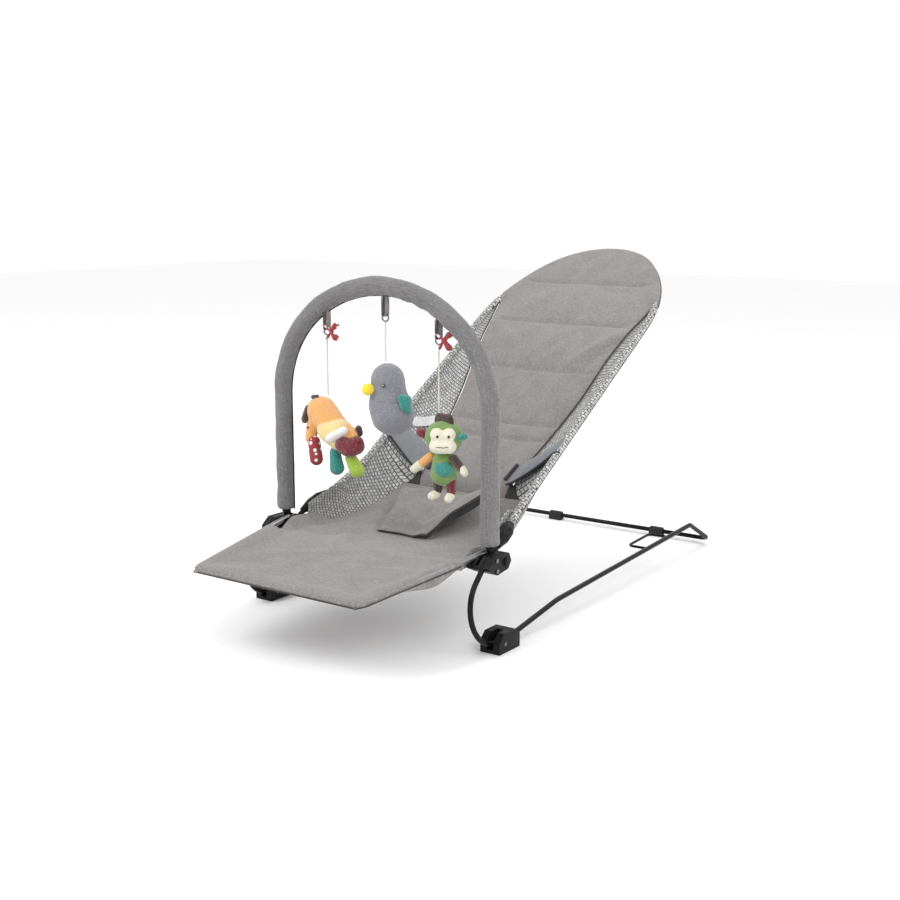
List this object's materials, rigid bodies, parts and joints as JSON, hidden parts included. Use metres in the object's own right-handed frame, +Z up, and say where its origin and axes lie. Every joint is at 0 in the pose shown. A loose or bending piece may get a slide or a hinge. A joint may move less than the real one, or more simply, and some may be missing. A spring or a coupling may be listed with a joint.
{
  "type": "baby bouncer seat",
  "caption": "Low reclining baby bouncer: a fabric sling with mesh sides on a wire frame that bounces, a padded toy arch and hanging plush toys.",
  "frame": {"origin": "on the floor, under the middle of the seat's length and width", "axes": "+Z up, +Y from the foot end towards the head, +X to the right as seen from the foot end; left is -X"},
  "size_m": [0.409, 0.8345, 0.4688],
  "materials": {
    "wire_black": "glossy black powder coat",
    "moulded_black": "black moulded nylon",
    "rubber_black": "matte black rubber",
    "pin_steel": "zinc-plated steel",
    "frame_steel": "bare steel rod under the cover",
    "arch_plastic": "grey extruded tube",
    "fabric_grey": "warm grey melange cotton",
    "mesh_knit": "striped spacer knit",
    "webbing": "smooth blue-grey webbing",
    "bow_red": "dark red cotton with white dots",
    "string_white": "twisted off-white cord",
    "plush_orange": "short plush",
    "plush_maroon": "short plush",
    "plush_brown": "short plush",
    "plush_lime": "short plush",
    "plush_grey": "short plush",
    "plush_yellow": "short plush",
    "plush_teal": "short plush",
    "plush_green": "short plush"
  },
  "bodies": {
    "base": {"base_rail_left": "wire_black", "base_rail_right": "wire_black", "rear_crossbar": "wire_black", "rear_foot_left": "rubber_black", "rear_foot_right": "rubber_black", "front_foot_left": "moulded_black", "front_foot_right": "moulded_black", "stop_loop_left": "wire_black", "stop_loop_right": "wire_black", "spring_pins": "pin_steel"},
    "seat": {"spring_leg_left": "wire_black", "spring_leg_right": "wire_black", "hinge_housing_left": "moulded_black", "hinge_housing_right": "moulded_black", "hinge_cover_left": "moulded_black", "hinge_cover_right": "moulded_black", "leg_frame": "frame_steel", "leg_pad": "fabric_grey", "hinge_pins": "pin_steel", "cover_screws": "pin_steel"},
    "back": {"back_frame": "frame_steel", "recline_arm_left": "moulded_black", "recline_arm_right": "moulded_black", "back_pad": "fabric_grey", "seat_panel": "fabric_grey", "mesh_side_left": "mesh_knit", "mesh_side_right": "mesh_knit", "crotch_flap": "fabric_grey", "waist_strap_left": "webbing", "waist_strap_right": "webbing"},
    "button_left": {"lock_button_left": "moulded_black"},
    "button_right": {"lock_button_right": "moulded_black"},
    "arch_clips": {"arch_clip_left": "moulded_black", "arch_clip_right": "moulded_black"},
    "arch": {"arch_tube": "arch_plastic", "arch_sleeve": "fabric_grey", "arch_tab_left": "fabric_grey", "arch_tab_centre": "fabric_grey", "arch_tab_right": "fabric_grey", "bow_left": "bow_red", "bow_right": "bow_red"},
    "ring_left": {"toy_ring_left": "pin_steel"},
    "ring_centre": {"toy_ring_centre": "pin_steel"},
    "ring_right": {"toy_ring_right": "pin_steel"},
    "dog": {"toy_string_left": "string_white", "dog_body": "plush_orange", "dog_muzzle": "plush_maroon", "dog_ears": "plush_brown", "dog_legs": "plush_lime"},
    "bird": {"toy_string_centre": "string_white", "bird_body": "plush_grey", "bird_beak": "plush_yellow", "bird_wings": "plush_teal"},
    "monkey": {"toy_string_right": "string_white", "monkey_head": "plush_green", "monkey_hat": "plush_brown", "monkey_ears": "plush_teal", "monkey_body": "plush_green", "monkey_arms": "plush_orange", "monkey_legs": "plush_maroon"}
  },
  "joints": [
    {"name": "bounce", "type": "hinge", "parent": "base", "child": "seat", "pos_m": [0, -0.222, 0.011], "axis": [1, 0, 0], "range_deg": [-6, 2], "stiffness_Nm_per_rad": 150, "springref_deg": 1.26},
    {"name": "recline", "type": "hinge", "parent": "seat", "child": "back", "pos_m": [0, -0.199, 0.109], "axis": [1, 0, 0], "range_deg": [-31, 0]},
    {"name": "arch_tilt", "type": "hinge", "parent": "seat", "child": "arch_clips", "pos_m": [0, -0.199, 0.109], "axis": [1, 0, 0], "range_deg": [-18, 12]},
    {"name": "arch_pull", "type": "slide", "parent": "arch_clips", "child": "arch", "axis": [0, 0, 1], "range_m": [0, 0.03]},
    {"name": "button_press_left", "type": "slide", "parent": "seat", "child": "button_left", "axis": [1, 0, 0], "range_m": [0, 0.003], "stiffness_N_per_m": 400, "springref_m": -0.002},
    {"name": "button_press_right", "type": "slide", "parent": "seat", "child": "button_right", "axis": [-1, 0, 0], "range_m": [0, 0.003], "stiffness_N_per_m": 400, "springref_m": -0.002},
    {"name": "dog_sway", "type": "hinge", "parent": "arch", "child": "ring_left", "pos_m": [-0.09, -0.207, 0.38528], "axis": [0, 1, 0], "range_deg": [-5, 5]},
    {"name": "dog_swing", "type": "hinge", "parent": "ring_left", "child": "dog", "pos_m": [-0.09, -0.207, 0.37528], "axis": [1, 0, 0], "range_deg": [-15, 15]},
    {"name": "bird_sway", "type": "hinge", "parent": "arch", "child": "ring_centre", "pos_m": [0.008, -0.207, 0.40833], "axis": [0, 1, 0], "range_deg": [-5, 5]},
    {"name": "bird_swing", "type": "hinge", "parent": "ring_centre", "child": "bird", "pos_m": [0.008, -0.207, 0.39833], "axis": [1, 0, 0], "range_deg": [-15, 15]},
    {"name": "monkey_sway", "type": "hinge", "parent": "arch", "child": "ring_right", "pos_m": [0.092, -0.207, 0.38415], "axis": [0, 1, 0], "range_deg": [-5, 5]},
    {"name": "monkey_swing", "type": "hinge", "parent": "ring_right", "child": "monkey", "pos_m": [0.092, -0.207, 0.37415], "axis": [1, 0, 0], "range_deg": [-15, 15]}
  ]
}
